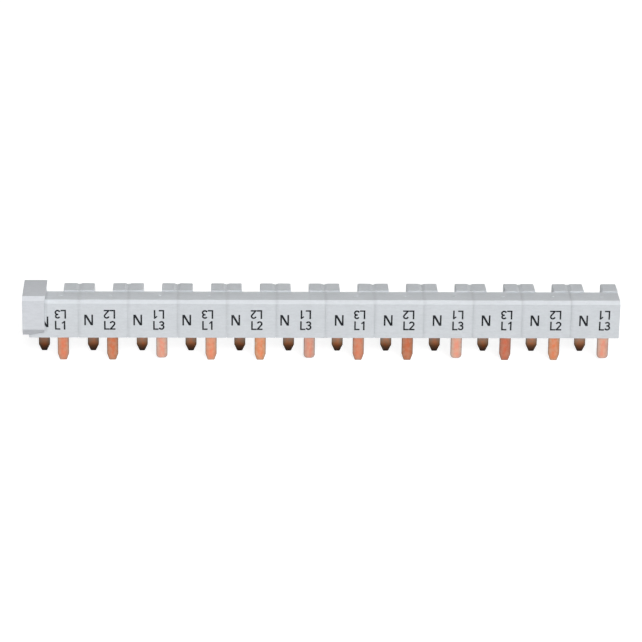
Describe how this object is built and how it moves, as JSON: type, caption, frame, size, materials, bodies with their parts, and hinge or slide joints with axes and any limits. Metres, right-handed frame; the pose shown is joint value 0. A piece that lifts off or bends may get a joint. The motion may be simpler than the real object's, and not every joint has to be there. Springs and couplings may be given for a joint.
{
  "type": "comb busbar",
  "caption": "Comb busbar for modular circuit breakers: light grey crenellated housing over nested copper combs whose flat teeth point down, with a push-on cap at one end.",
  "frame": {"origin": "centre of the bounding box's bottom face, at the height of the tooth tips", "axes": "+X along the bar away from the capped end, +Y from the marked front face to the rear, +Z from the tooth tips to the tabs"},
  "size_m": [0.2158, 0.0194, 0.025],
  "materials": {
    "housing": "satin",
    "cap": "satin",
    "phase_copper": "satin, bare copper",
    "neutral_copper": "satin, darkened copper"
  },
  "bodies": {
    "root": {"housing_segment_01": "housing", "housing_segment_02": "housing", "housing_segment_03": "housing", "housing_segment_04": "housing", "housing_segment_05": "housing", "housing_segment_06": "housing", "housing_segment_07": "housing", "housing_segment_08": "housing", "housing_segment_09": "housing", "housing_segment_10": "housing", "housing_segment_11": "housing", "housing_segment_12": "housing", "busbar_l1": "phase_copper", "busbar_l2": "phase_copper", "busbar_l3": "phase_copper", "busbar_n": "neutral_copper", "end_cap": "cap"}
  },
  "joints": []
}
